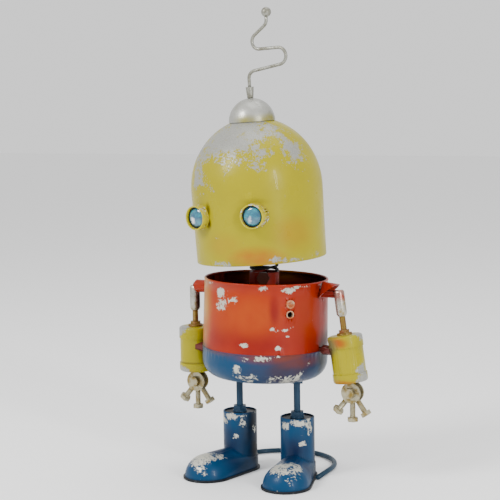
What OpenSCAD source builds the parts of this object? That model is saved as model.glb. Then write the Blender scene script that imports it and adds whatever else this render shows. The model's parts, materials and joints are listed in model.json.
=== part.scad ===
// Spring-headed sheet-metal robot. It faces -Y, its own left side is +X, and it stands on z = 0.
// Modules are drawn about the axis of the round trunk; on_base() then moves that axis so that the
// origin lies under the middle of the whole figure.

/* [Sheet and fasteners] */
// Thickness of the sheet metal
sheet = 1.0; // [0.8:0.1:1.2]
// Width across the flats of the small hex heads and nuts
small_hex = 10; // [9:0.5:11]
// Radius of the small bolt shanks
small_shank_r = 2.8; // [2.4:0.1:2.9]

/* [Head] */
// Outer radius of the head at its rim
head_r = 65; // [62:0.5:68]
// Height of the straight part of the head
skirt_h = 71.3; // [60:0.1:80]
// Height of the dome above the straight part, if it were not cut by the cap
dome_h = 70; // [60:1:80]
// Radius of the half-round cap on top
cap_r = 23.2; // [18:0.2:26]
// Radius of the antenna wire
wire_r = 1.65; // [1.2:0.05:2]
// Radius of the ball on the antenna
ball_r = 4.9; // [4:0.1:6]
// Forward nod of the head at rest, in degrees
rest_nod = 1.6; // [0:0.1:3]
// Lean of the head towards its right at rest, in degrees
rest_lean = 2.8; // [0:0.1:3]
// Turn of the face towards its right, in degrees
rest_turn = 1.2; // [0:0.1:6]

/* [Eyes] */
// Outer radius of the eye tubes
eye_r = 11.9; // [11:0.1:14]
// Height of the eyes above the rim of the head
eye_z = 48.5; // [40:0.1:55]
// Half the distance between the eyes
eye_x = 32.5; // [28:0.5:34]
// Distance of the front of the eye tubes from the axis of the head
eye_front = 67.5; // [66:0.5:72]
// Angle by which each eye looks outward
eye_splay = 10; // [0:0.5:12]

/* [Trunk] */
// Outer radius of the trunk at its rim
trunk_r = 62.2; // [60:0.1:64]
// Outer radius of the trunk at its seam and of the pan
pan_r = 63.2; // [60:0.1:64]
// Lean of the trunk towards the robot's left, in degrees
trunk_lean = 1.5; // [0:0.1:3]
// Backward lean of the trunk, in degrees
trunk_back = 0.8; // [0:0.1:2]
// Height of the flat underside of the pan
pan_z = 100.8; // [98:0.1:105]
// Height of the seam between the pan and the shell
seam_z = 131.7; // [128:0.1:138]
// Height of the top rim of the trunk
trunk_top = 200.7; // [196:0.1:203]

/* [Neck] */
// Outer radius of the neck spring and its collars
spring_r = 15; // [12:0.5:18]
// Radius of the spring wire
spring_wire_r = 1.4; // [1:0.1:1.6]
// Turns of the spring
spring_turns = 5.25; // [4:0.25:6]
// Height of the top of the lower collar
collar_top = 206.5; // [204:0.5:211]

/* [Arms] */
// Distance of the arms from the trunk's axis, on the robot's right
arm_x_right = 85.5; // [82:0.5:88]
// Distance of the arms from the trunk's axis, on the robot's left
arm_x_left = 81.7; // [80:0.1:86]
// Outward lean of the robot's left arm, in degrees
arm_lean_left = 8.1; // [0:0.1:10]
// Height of the shoulder bar
bar_z = 187.5; // [180:0.5:190]
// Outer radius of the forearm cans over their caps
can_r = 17.2; // [15:0.1:18.5]
// Height of the forearm cans
can_h = 46.7; // [40:0.1:50]
// Outer radius of the hand washers
washer_r = 10.25; // [9:0.25:12]

/* [Legs] */
// Distance of each leg from the middle
leg_x = 33.5; // [31:0.5:36]
// Radius of the leg rods
leg_rod_r = 3.5; // [3:0.1:4]
// Outer radius of the boot shafts
shaft_r = 17.3; // [16:0.1:18.5]
// Height of the boots
boot_top = 61; // [56:1:66]
// Outward turn of each boot, in degrees
boot_splay = 14; // [0:1:18]
// Radius of the support hoop's bend
hoop_r = 56; // [52:1:58]

/* [Hidden] */
$fn = 96;
// The trunk's axis lies a little to the right of, and in front of, the middle of the figure.
axis_at = [-5.01, -5.33, 0];
fit = 0.05;
flat_to_corner = 1 / cos(30);

function smooth(t) = t * t * (3 - 2 * t);
function arc(cx, cy, rx, ry, a0, a1, n) =
    [for (i = [0:n]) let (a = a0 + (a1 - a0) * i / n) [cx + rx * cos(a), cy + ry * sin(a)]];
function reversed(list) = [for (i = [len(list) - 1:-1:0]) list[i]];

// Closed tube through the points of a centre line that lies in the XZ plane.
module swept_wire(points, r, sides) {
    last = len(points) - 1;
    rings = [for (i = [0:last])
        let (d = points[min(i + 1, last)] - points[max(i - 1, 0)])
        let (u = d / norm(d))
        for (k = [0:sides - 1])
        let (a = 360 * k / sides)
        [points[i][0] + r * cos(a) * u[1], r * sin(a), points[i][1] - r * cos(a) * u[0]]];
    tube_mesh(rings, last + 1, sides);
}

module tube_mesh(rings, count, sides) {
    walls = [for (i = [0:count - 2]) for (k = [0:sides - 1])
        let (n = (k + 1) % sides)
        [i * sides + k, i * sides + n, (i + 1) * sides + n, (i + 1) * sides + k]];
    first = [for (k = [sides - 1:-1:0]) k];
    final = [for (k = [0:sides - 1]) (count - 1) * sides + k];
    polyhedron(points = rings, faces = concat([first], walls, [final]), convexity = 10);
}

module ring(r_out, r_in, h) {
    difference() {
        cylinder(r = r_out, h = h);
        translate([0, 0, -1]) cylinder(r = r_in, h = h + 2);
    }
}

module hex(across, h) {
    cylinder(r = across / 2 * flat_to_corner, h = h, $fn = 6);
}

module hex_nut(across, h, hole_r) {
    difference() {
        hex(across, h);
        translate([0, 0, -1]) cylinder(r = hole_r, h = h + 2);
    }
}

module flange_nut(across, h, flange_r, flange_h, hole_r) {
    difference() {
        union() {
            cylinder(r = flange_r, h = flange_h);
            hex(across, h);
        }
        translate([0, 0, -1]) cylinder(r = hole_r, h = h + 2);
    }
}

// Bolt along +Z with its head below z = 0.
module bolt(across, head_h, shank_r, shank_h) {
    translate([0, 0, -head_h]) hex(across, head_h);
    cylinder(r = shank_r, h = shank_h);
}

module on_base() {
    translate(axis_at) children();
}

lean_pivot = 200;

// The trunk and the neck collar lean about a point in the plane of the trunk's rim.
module on_trunk() {
    on_base() translate([0, 0, lean_pivot]) rotate([-trunk_back, trunk_lean, 0])
        translate([0, 0, -lean_pivot]) children();
}

/* ---- Head ---- */
rim_at = [-3.5, -2, 219.8];
rim_bead_r = 1.2;
dome_r = head_r + 0.9;
cap_z = skirt_h + dome_h * sqrt(1 - pow(cap_r / dome_r, 2)) + 0.6;
stud_r = 2.4;
bar_h = 2.5;
bar_w = 22;
head_bar_z = 34;
upper_collar_h = 10;
eye_depth = 5;
eye_wall = 1.2;
glass_r = 9.3;
socket_h = 11;

module on_head() {
    on_base() translate(rim_at) rotate([rest_nod, -rest_lean, 0]) rotate([0, 0, -rest_turn]) children();
}

module skirt_outside() {
    translate([0, 0, rim_bead_r]) cylinder(r1 = head_r, r2 = dome_r, h = skirt_h - rim_bead_r);
}

module head_skirt() {
    color("gold") on_head() {
        rotate_extrude() translate([head_r - rim_bead_r, rim_bead_r]) circle(r = rim_bead_r, $fn = 24);
        difference() {
            skirt_outside();
            cylinder(r1 = head_r - sheet, r2 = dome_r - sheet, h = skirt_h + 0.01);
        }
    }
}

module head_dome() {
    top = acos(stud_r / dome_r);
    outside = arc(0, skirt_h, dome_r, dome_h, 0, top, 30);
    inside = arc(0, skirt_h, dome_r - sheet, dome_h - sheet, 0, top, 30);
    color("gold") on_head() rotate_extrude() polygon(concat(outside, reversed(inside)));
}

module head_cap() {
    top = acos(stud_r / cap_r);
    outside = arc(0, cap_z, cap_r, cap_r, 0, top, 20);
    inside = arc(0, cap_z, cap_r - sheet, cap_r - sheet, 0, top, 20);
    color("silver") on_head() rotate_extrude() polygon(concat(outside, reversed(inside)));
}

cap_top = cap_z + cap_r;
dome_inside_top = skirt_h + dome_h - sheet;

module antenna_socket() {
    color("silver") on_head() difference() {
        union() {
            translate([0, 0, cap_top]) cylinder(r1 = 3.1, r2 = 4.1, h = socket_h);
            translate([0, 0, dome_inside_top - 7])
                cylinder(r = stud_r - fit, h = cap_top - dome_inside_top + 7.5);
        }
        translate([0, 0, cap_top + 2]) cylinder(r = wire_r + fit, h = socket_h);
    }
}

module antenna_nut() {
    color("silver") on_head() translate([0, 0, dome_inside_top - 6]) hex_nut(small_hex, 5, stud_r);
}

// Antenna wire as bends: straight length before the bend, turn to the right in degrees, bend radius.
antenna_bends = [[17, 82, 7.5], [30.5, -172, 8.3], [21.5, 90, 7.5],
    [0, 55, 8], [14, -50, 7], [6.2, 0, 1]];
bend_step = 12;

function bend_points(at, heading, turn, r, n) =
    [for (i = [1:n])
        let (h = heading + turn * i / n, s = sign(turn))
        at + s * r * [cos(heading) - cos(h), sin(h) - sin(heading)]];

function wire_points(i, at, heading) =
    i == len(antenna_bends) ? [] :
    let (b = antenna_bends[i])
    let (corner = at + b[0] * [sin(heading), cos(heading)])
    let (n = ceil(abs(b[1]) / bend_step))
    let (curve = n == 0 ? [] : bend_points(corner, heading, b[1], b[2], n))
    let (next = n == 0 ? corner : curve[n - 1])
    concat(b[0] > 0 ? [corner] : [], curve, wire_points(i + 1, next, heading + b[1]));

wire_start = [0, cap_top + 2];
wire_line = concat([wire_start], wire_points(0, wire_start, 0));
wire_end = wire_line[len(wire_line) - 1];
wire_end_heading = 5;

module antenna_wire() {
    color("silver") on_head() swept_wire(wire_line, wire_r, 12);
}

module antenna_ball() {
    color("silver") on_head() translate([wire_end[0], 0, wire_end[1]]) rotate([0, wire_end_heading, 0])
        difference() {
            translate([0, 0, ball_r - 3]) sphere(r = ball_r);
            translate([0, 0, -3]) cylinder(r = wire_r + fit, h = 3);
        }
}

/* ---- Eyes, side = 1 for the robot's left and -1 for its right ---- */
module on_eye(side) {
    on_head() translate([side * eye_x, -eye_front, eye_z]) rotate([90, 0, side * eye_splay]) children();
}

module eye_tube(side) {
    color("khaki") difference() {
        on_eye(side) translate([0, 0, -26]) ring(eye_r, eye_r - eye_wall, 26);
        on_head() skirt_outside();
    }
}

// Black bowl that closes the tube behind the glass and is cut to the curve of the head.
module eye_cup(side) {
    color("black") difference() {
        on_eye(side) translate([0, 0, -22]) difference() {
            cylinder(r = eye_r - eye_wall - fit, h = 22 - eye_depth + 2);
            translate([0, 0, 22 - eye_depth]) cylinder(r = glass_r + fit, h = 3);
        }
        on_head() skirt_outside();
    }
}

module eye_glass(side) {
    bulge = arc(0, 1.5, glass_r, 3.2, 0, 90, 10);
    color("teal", 0.8) on_eye(side) translate([0, 0, -eye_depth])
        rotate_extrude() polygon(concat([[0, 0], [glass_r, 0]], bulge));
}

/* ---- Neck ---- */
spring_gap = 0.15;
lower_collar_h = 34;
collar_at = [-2, -0.6];
trunk_slope = [tan(trunk_lean), tan(trunk_back)];
head_slope = [tan(rest_lean), tan(rest_nod)];
spring_foot = collar_at + (collar_top - lean_pivot) * trunk_slope;
spring_bottom = collar_top - collar_at * trunk_slope + spring_wire_r + spring_gap;
upper_collar_z = head_bar_z - upper_collar_h;
spring_top = rim_at[2] + upper_collar_z - spring_wire_r - 2 * spring_gap;
spring_shift = [rim_at[0], rim_at[1]] - head_slope * upper_collar_z - spring_foot;
end_turns = 0.75;
end_pitch = 2 * spring_wire_r + 0.3;
open_pitch = (spring_top - spring_bottom - 2 * end_turns * end_pitch) / (spring_turns - 2 * end_turns);
spring_sides = 8;
spring_step = 15;

function spring_rise(turn) =
    turn < end_turns ? turn * end_pitch :
    turn < spring_turns - end_turns ? end_turns * end_pitch + (turn - end_turns) * open_pitch :
    spring_top - spring_bottom - (spring_turns - turn) * end_pitch;

module head_crossbar() {
    color("dimgray") on_head() translate([0, 0, head_bar_z]) intersection() {
        difference() {
            translate([-head_r, -bar_w / 2, 0]) cube([2 * head_r, bar_w, bar_h]);
            translate([0, 0, -1]) cylinder(r = small_shank_r + fit, h = bar_h + 2);
        }
        translate([0, 0, -head_bar_z])
            cylinder(r1 = head_r - sheet - fit, r2 = dome_r - sheet - fit, h = skirt_h);
    }
}

// Cup on the underside of the crossbar; the spring is welded to its edge.
module upper_collar() {
    color("dimgray") on_head() translate([0, 0, upper_collar_z]) difference() {
        cylinder(r = spring_r, h = upper_collar_h);
        translate([0, 0, -1]) cylinder(r = spring_r - 2 * spring_wire_r, h = upper_collar_h - 1);
        cylinder(r = small_shank_r + fit, h = upper_collar_h + 1);
    }
}

module upper_collar_bolt() {
    color("dimgray") on_head() {
        translate([0, 0, head_bar_z - 2]) bolt(small_hex, 4, small_shank_r, 12);
        translate([0, 0, head_bar_z + bar_h]) hex_nut(small_hex, 5, small_shank_r + fit);
    }
}

module neck_spring() {
    count = spring_turns * 360 / spring_step;
    mid_r = spring_r - spring_wire_r;
    points = [for (i = [0:count]) for (k = [0:spring_sides - 1])
        let (turn = i / count * spring_turns)
        let (t = smooth(turn / spring_turns))
        let (a = 360 * turn)
        let (b = 360 * k / spring_sides)
        let (reach = mid_r + spring_wire_r * cos(b))
        let (out = reach * [cos(a), sin(a)])
        let (across = out + spring_foot + t * spring_shift)
        [across[0],
         across[1],
         spring_bottom + spring_rise(turn) - spring_wire_r * sin(b)
            + t * (out * head_slope) - (1 - t) * (out * trunk_slope)]];
    color("black") on_base() tube_mesh(points, count + 1, spring_sides);
}

// Tube that the shoulder bar passes through; the spring is welded to its top edge.
module neck_collar() {
    color("darkred") difference() {
        on_trunk() translate([collar_at[0], collar_at[1], collar_top - lower_collar_h])
            ring(spring_r, spring_r - 2 * spring_wire_r, lower_collar_h);
        bar_form(bar_r + fit);
        on_collar_bolt() translate([0, -20, 0]) rotate([-90, 0, 0])
            cylinder(r = small_shank_r + fit, h = 40);
    }
}

collar_bolt_z = 201.5;
collar_bolt_turn = 26;

module on_collar_bolt() {
    on_trunk() translate([collar_at[0], collar_at[1], collar_bolt_z]) rotate([0, 0, collar_bolt_turn])
        children();
}

module collar_bolt() {
    color("dimgray") on_collar_bolt() {
        translate([0, -spring_r, 0]) rotate([-90, 0, 0])
            bolt(11.5, 4.5, small_shank_r, 2 * spring_r + 7);
        translate([0, spring_r, 0]) rotate([-90, 0, 0]) hex_nut(small_hex, 5, small_shank_r + fit);
    }
}

/* ---- Trunk ---- */
trunk_bead_r = 1.1;
pan_corner_r = 16;
pan_corner_h = 18;
grommet_hole_r = 2.9;
lip_out = 0.4;
lip_h = 1.6;
bar_r = 4;
cup_tip = [64, 0, 200.5];
cup_h = 11.5;
cup_tilt = 140;

// Both chest fittings sit this far round to the robot's left of its front.
chest_angle = 51.3;
button_z = 181.5;
grommet_z = 171.5;

function shell_r(z) = trunk_r + (pan_r - trunk_r) * (trunk_top - z) / (trunk_top - seam_z);

module on_chest(z) {
    on_trunk() rotate([0, 0, chest_angle]) translate([0, -shell_r(z), z]) rotate([90, 0, 0]) children();
}

// Outer form of shell, seam lip and pan, grown by the given gap.
module trunk_outside(gap) {
    translate([0, 0, seam_z]) cylinder(r1 = pan_r + gap, r2 = trunk_r + gap, h = trunk_top - seam_z);
    translate([0, 0, trunk_top - 2 * trunk_bead_r]) cylinder(r = trunk_r + 0.4 + gap, h = 12);
    translate([0, 0, seam_z - lip_h - gap]) cylinder(r = pan_r + lip_out + gap, h = lip_h + 2 * gap);
    translate([0, 0, pan_z]) cylinder(r = pan_r + gap, h = seam_z - pan_z);
}

module body_shell() {
    shell_h = trunk_top - trunk_bead_r - seam_z;
    color("orangered") difference() {
        on_trunk() {
            translate([0, 0, trunk_top - trunk_bead_r]) rotate_extrude()
                translate([trunk_r - trunk_bead_r + 0.4, 0]) circle(r = trunk_bead_r, $fn = 24);
            translate([0, 0, seam_z]) difference() {
                cylinder(r1 = pan_r, r2 = trunk_r, h = shell_h);
                translate([0, 0, -0.01])
                    cylinder(r1 = pan_r - sheet, r2 = trunk_r - sheet, h = shell_h + 0.02);
            }
        }
        bar_form(bar_r + fit);
        on_chest(grommet_z) translate([0, 0, -5]) cylinder(r = grommet_hole_r + 0.5, h = 10);
        on_chest(button_z) translate([0, 0, -5]) cylinder(r = small_shank_r + fit, h = 10);
    }
}

module body_pan() {
    corner_x = pan_r - pan_corner_r;
    corner_z = pan_z + pan_corner_h;
    outside = arc(corner_x, corner_z, pan_corner_r, pan_corner_h, 0, -90, 14);
    inside = arc(corner_x, corner_z, pan_corner_r - sheet, pan_corner_h - sheet, 0, -90, 14);
    edge = pan_r + lip_out;
    lip = [[pan_r - sheet, seam_z], [edge, seam_z], [edge, seam_z - lip_h + 0.4], [pan_r, seam_z - lip_h]];
    color("steelblue") difference() {
        on_trunk() rotate_extrude()
            polygon(concat(lip, outside, [[0, pan_z], [0, pan_z + sheet]], reversed(inside)));
        for (side = [-1, 1]) on_pan_hole(side) translate([0, 0, -1]) cylinder(r = pan_hole_r, h = 4);
    }
}

// Domed bolt with a ring of bare metal round its middle.
module chest_button() {
    color("orange") {
        difference() {
            on_chest(button_z) {
                translate([0, 0, -0.2]) cylinder(r = 4.4, h = 1.4);
                rotate_extrude() translate([3.4, 1.2]) circle(r = 1, $fn = 20);
            }
            on_trunk() trunk_outside(fit);
        }
        on_chest(button_z) translate([0, 0, -8]) cylinder(r = small_shank_r, h = 8.5);
    }
}

module chest_grommet() {
    color("silver") difference() {
        union() {
            difference() {
                on_chest(grommet_z) translate([0, 0, -0.2]) cylinder(r = 3.9, h = 1.2);
                on_trunk() trunk_outside(fit);
            }
            on_chest(grommet_z) translate([0, 0, -2.5]) cylinder(r = grommet_hole_r + 0.45, h = 3);
        }
        on_chest(grommet_z) translate([0, 0, -4]) cylinder(r = grommet_hole_r, h = 8);
    }
}

/* ---- Arms. The arm frame starts where the sleeve crosses the shoulder bar, with +Z up the arm. ---- */
module on_arm(side) {
    x = side > 0 ? arm_x_left : arm_x_right;
    lean = side > 0 ? arm_lean_left : 0;
    on_base() translate([side * x, 0, bar_z]) rotate([0, -side * lean, 0]) children();
}

// Heights in the arm frame, which differ a little between the two arms.
function sleeve_top(side) = side > 0 ? 4 : 0.2;
function can_top(side) = side > 0 ? -40.2 : -42.3;
function can_bottom(side) = can_top(side) - can_h;
function hand_z(side) = side > 0 ? -97.5 : -100;

// The hands hang upright, whatever the lean of the arm.
module on_hand(side) {
    lean = side > 0 ? arm_lean_left : 0;
    on_arm(side) translate([side > 0 ? 0 : 1.3, 0, hand_z(side)]) rotate([0, side * lean, 0]) children();
}

sleeve_h = 25.5;
sleeve_across = 10.2;
top_cap_h = 11.8;
bottom_cap_h = 9;
cap_corner = 2.5;
cap_wall = 0.8;
rod_r = 3.1;
washer_gap = 6.4;
washer_t = 1.6;
stay_hex_from = 66.5;

module bar_form(r) {
    on_base() translate([-arm_x_right, 0, bar_z]) rotate([0, 90, 0])
        cylinder(r = r, h = arm_x_right + arm_x_left);
}

// Long hex nut with bevelled ends, grown by the given gap.
module sleeve_form(side, gap) {
    r = sleeve_across / 2 * flat_to_corner + gap;
    on_arm(side) translate([0, 0, sleeve_top(side) - sleeve_h]) intersection() {
        hex(sleeve_across + 2 * gap, sleeve_h);
        union() {
            cylinder(r1 = r - 1.8, r2 = r + 0.1, h = 4);
            translate([0, 0, 4]) cylinder(r = r + 0.1, h = sleeve_h - 6);
            translate([0, 0, sleeve_h - 2]) cylinder(r1 = r + 0.1, r2 = r - 1.6, h = 2);
        }
    }
}

// The bar passes through the trunk and the neck collar, and its ends butt against the sleeves.
module shoulder_bar() {
    color("darkred") difference() {
        bar_form(bar_r);
        sleeve_form(1, fit);
        sleeve_form(-1, fit);
    }
}

// Wide cone whose tip sits on the trunk and which opens outward and down over the bar.
module shoulder_cup_left() {
    color("orangered") difference() {
        on_trunk() translate(cup_tip) rotate([0, cup_tilt, 0]) difference() {
            cylinder(r1 = 0.8, r2 = cup_h + 0.8, h = cup_h);
            translate([0, 0, 1.6]) cylinder(r1 = 0.8, r2 = cup_h + 0.9, h = cup_h);
        }
        on_trunk() trunk_outside(fit);
        bar_form(bar_r + fit);
    }
}

// Thick sleeve round the bar between the trunk and the robot's right arm.
module shoulder_collar_right() {
    color("orange") difference() {
        on_base() translate([-arm_x_right + 2.8, 0, bar_z]) rotate([0, 90, 0]) cylinder(r = 6.5, h = 30);
        on_trunk() trunk_outside(fit);
        bar_form(bar_r + fit);
        sleeve_form(-1, fit);
    }
}

// The bar is welded to the side of the sleeve, and the forearm rod screws in from below.
module arm_sleeve(side) {
    color("silver") difference() {
        sleeve_form(side, 0);
        on_arm(side) translate([0, 0, sleeve_top(side) - sleeve_h - 1]) cylinder(r = rod_r + fit, h = 16);
    }
}

module forearm_rod(side) {
    foot = hand_z(side) + 3.6;
    rod_top = sleeve_top(side) - sleeve_h + 14;
    color("peru") on_arm(side) translate([0, 0, foot]) cylinder(r = rod_r, h = rod_top - foot);
}

module forearm_nut(side) {
    color("goldenrod") on_arm(side) translate([0, 0, can_top(side)])
        flange_nut(small_hex, 5, 7.5, 2, rod_r + fit);
}

// Its edges stop where the rounded corners of the lids begin.
module forearm_can(side) {
    color("gold") on_arm(side) translate([0, 0, can_bottom(side) + cap_corner])
        ring(can_r - cap_wall - fit, can_r - cap_wall - sheet, can_h - 2 * cap_corner);
}

// Shallow round-edged lid with its flat face at z = 0 and its open edge at z = h.
module lid(h) {
    r = can_r;
    outside = arc(r - cap_corner, cap_corner, cap_corner, cap_corner, -90, 0, 6);
    c = cap_corner - cap_wall;
    inside = arc(r - cap_corner, cap_corner, c, c, -90, 0, 6);
    outline = concat([[rod_r + fit, 0]], outside, [[r, h], [r - cap_wall, h]], reversed(inside),
        [[rod_r + fit, cap_wall]]);
    rotate_extrude() polygon(outline);
}

module forearm_top_cap(side) {
    color("gold") on_arm(side) translate([0, 0, can_top(side)]) mirror([0, 0, 1]) lid(top_cap_h);
}

module forearm_bottom_cap(side) {
    color("silver") on_arm(side) translate([0, 0, can_bottom(side)]) lid(bottom_cap_h);
}

// Outer form of a forearm can with its caps, grown by the fit.
module can_outside(side) {
    on_arm(side) translate([0, 0, can_bottom(side)]) {
        cylinder(r = can_r - cap_wall, h = can_h);
        cylinder(r = can_r + fit, h = bottom_cap_h + fit);
        translate([0, 0, can_h - top_cap_h - fit]) cylinder(r = can_r + fit, h = top_cap_h + fit);
    }
}

// Spacer bolt between the forearm and the trunk, with its head against the forearm.
module stay_bolt(side) {
    at = side > 0 ? [0, -2, 133.4] : [0, -9, 123.8];
    color("darkred") difference() {
        on_trunk() mirror([side > 0 ? 0 : 1, 0, 0]) translate(at) rotate([0, 90, 0]) {
            translate([0, 0, pan_r - 4]) cylinder(r = 2.5, h = 16);
            translate([0, 0, stay_hex_from]) hex(8.5, 10);
        }
        on_trunk() trunk_outside(fit);
        can_outside(side);
    }
}

module hand_washers(side) {
    color("silver") on_hand(side) rotate([90, 0, 0]) {
        translate([0, 0, washer_gap / 2]) ring(washer_r, small_shank_r + fit, washer_t);
        translate([0, 0, -washer_gap / 2 - washer_t]) ring(washer_r, small_shank_r + fit, washer_t);
    }
}

module hand_bolt(side) {
    plate = washer_gap / 2 + washer_t;
    color("goldenrod") on_hand(side) rotate([-90, 0, 0]) {
        translate([0, 0, -plate]) bolt(9.5, 4, small_shank_r, 2 * plate + 7);
        translate([0, 0, plate]) hex_nut(9.5, 5, small_shank_r + fit);
    }
}

// Angle from straight down, and distance of the underside of the head from the hand's middle.
fingers = [[-36, 22.5], [0, 24.9], [40, 22.5]];
finger_from = 9.2;

// Three bolts with their shanks between the washers and their heads as finger tips.
module finger_bolts(side) {
    color("goldenrod") on_hand(side)
        for (f = fingers) rotate([0, f[0] + 180, 0]) translate([0, 0, f[1]]) mirror([0, 0, 1])
            bolt(small_hex, 4, small_shank_r, f[1] - finger_from);
}

/* ---- Legs and boots ---- */
leg_at = [-0.8, 1.2, 0];
pan_hole_r = leg_rod_r + 0.3;
leg_rod_bottom = 50;
leg_rod_top = pan_z + 12;
plate_z = 58;
plate_t = 1.5;
sole_t = 2;
heel_r = 19.8;
toe_r = 25;
toe_at = 47.5;
sole_edge = 1.7;
shoe_h = 21.5;

module on_leg(side) {
    on_base() translate(leg_at + [side * leg_x, 0, 0]) children();
}

// The leg rods stay upright, so they meet the leaning pan to one side of where they stand.
module on_pan_hole(side) {
    shift = (lean_pivot - pan_z) * trunk_slope;
    on_trunk() translate(leg_at + [side * leg_x + shift[0], shift[1], pan_z]) children();
}

module on_boot(side) {
    on_leg(side) rotate([0, 0, side * boot_splay]) children();
}

// Outline of two circles joined by their common tangents, with the toe towards -Y.
module shoe_outline(heel, toe) {
    lean = asin((toe - heel) / toe_at);
    polygon(concat(arc(0, 0, heel, heel, lean, 180 - lean, 24),
        arc(0, -toe_at, toe, toe, 180 - lean, 360 + lean, 36)));
}

module leg_rod(side) {
    color("midnightblue") on_leg(side) translate([0, 0, leg_rod_bottom])
        cylinder(r = leg_rod_r, h = leg_rod_top - leg_rod_bottom);
}

// Nut inside the pan, flange nut under the pan, and flange nut on the boot.
module leg_nuts(side) {
    color("midnightblue") {
        on_pan_hole(side) translate([0, 0, sheet]) hex_nut(13, 6, pan_hole_r);
        on_pan_hole(side) mirror([0, 0, 1]) flange_nut(12, 5, 8, 1.6, pan_hole_r);
        on_leg(side) translate([0, 0, plate_z + plate_t]) flange_nut(12.5, 6.5, 7.2, 2, leg_rod_r + fit);
    }
}

module boot_plate(side) {
    color("black") on_leg(side) translate([0, 0, plate_z])
        ring(shaft_r - sheet - fit, leg_rod_r + fit, plate_t);
}

module boot_shaft(side) {
    color("steelblue") on_leg(side) difference() {
        union() {
            translate([0, 0, sole_t]) cylinder(r = shaft_r, h = boot_top - sole_t - 0.8);
            translate([0, 0, boot_top - 0.8]) rotate_extrude()
                translate([shaft_r - 0.8, 0]) circle(r = 0.8, $fn = 20);
        }
        translate([0, 0, sole_t - 1]) cylinder(r = shaft_r - sheet, h = boot_top - sole_t + 0.2);
        translate([0, 0, boot_top - 2]) cylinder(r = shaft_r - 1.6, h = 4);
    }
}

// Rounded shoe over the front of the shaft, grown inward by t.
module shoe_form(t) {
    hull() {
        linear_extrude(height = 12 - t) circle(r = heel_r - sole_edge - t, $fn = 48);
        translate([0, -toe_at, 0]) scale([toe_r - sole_edge - t, toe_r - sole_edge - t, shoe_h - t])
            sphere(r = 1, $fn = 40);
        translate([0, -14, 0]) scale([18.5 - t, 16 - t, shoe_h + 1 - t]) sphere(r = 1, $fn = 40);
    }
}

module boot_shoe(side) {
    color("steelblue") on_boot(side) translate([0, 0, sole_t]) difference() {
        shoe_form(0);
        translate([0, 0, -0.01]) shoe_form(1.2);
        translate([0, 0, -40]) cylinder(r = 100, h = 40);
        translate([0, 0, -1]) cylinder(r = shaft_r + fit, h = 60);
    }
}

module boot_sole(side) {
    color("black") on_boot(side) linear_extrude(height = sole_t) shoe_outline(heel_r, toe_r);
}

hoop_wire_r = 2.5;
hoop_y = 25.5;
hoop_flare = 6;
hoop_leg = 37;

// Round bar behind the boots that stops the figure tipping back. Its ends meet the outer edges of the soles.
module support_hoop() {
    end_x = hoop_r * cos(hoop_flare) + hoop_leg * sin(hoop_flare);
    end_y = hoop_r * sin(hoop_flare) - hoop_leg * cos(hoop_flare);
    bend = arc(0, 0, hoop_r, hoop_r, hoop_flare, 180 - hoop_flare, 28);
    color("steelblue") on_base() translate([leg_at[0], hoop_y, hoop_wire_r]) rotate([-90, 0, 0])
        swept_wire(concat([[end_x, end_y]], bend, [[-end_x, end_y]]), hoop_wire_r, 16);
}

head_skirt();
head_dome();
head_cap();
antenna_socket();
antenna_nut();
antenna_wire();
antenna_ball();
eye_tube(1);  // eye_tube_left
eye_tube(-1);  // eye_tube_right
eye_cup(1);  // eye_cup_left
eye_cup(-1);  // eye_cup_right
eye_glass(1);  // eye_glass_left
eye_glass(-1);  // eye_glass_right
head_crossbar();
upper_collar();
upper_collar_bolt();
neck_spring();
neck_collar();
collar_bolt();
body_shell();
body_pan();
chest_button();
chest_grommet();
shoulder_bar();
shoulder_cup_left();
shoulder_collar_right();
arm_sleeve(1);  // arm_sleeve_left
arm_sleeve(-1);  // arm_sleeve_right
forearm_rod(1);  // forearm_rod_left
forearm_rod(-1);  // forearm_rod_right
forearm_nut(1);  // forearm_nut_left
forearm_nut(-1);  // forearm_nut_right
forearm_can(1);  // forearm_can_left
forearm_can(-1);  // forearm_can_right
forearm_top_cap(1);  // forearm_top_cap_left
forearm_top_cap(-1);  // forearm_top_cap_right
forearm_bottom_cap(1);  // forearm_bottom_cap_left
forearm_bottom_cap(-1);  // forearm_bottom_cap_right
stay_bolt(1);  // stay_bolt_left
stay_bolt(-1);  // stay_bolt_right
hand_washers(1);  // hand_washers_left
hand_washers(-1);  // hand_washers_right
hand_bolt(1);  // hand_bolt_left
hand_bolt(-1);  // hand_bolt_right
finger_bolts(1);  // finger_bolts_left
finger_bolts(-1);  // finger_bolts_right
leg_rod(1);  // leg_rod_left
leg_rod(-1);  // leg_rod_right
leg_nuts(1);  // leg_nuts_left
leg_nuts(-1);  // leg_nuts_right
boot_plate(1);  // boot_plate_left
boot_plate(-1);  // boot_plate_right
boot_shaft(1);  // boot_shaft_left
boot_shaft(-1);  // boot_shaft_right
boot_shoe(1);  // boot_shoe_left
boot_shoe(-1);  // boot_shoe_right
boot_sole(1);  // boot_sole_left
boot_sole(-1);  // boot_sole_right
support_hoop();
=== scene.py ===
import json
import math

import bpy
from mathutils import Matrix, Vector


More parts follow.
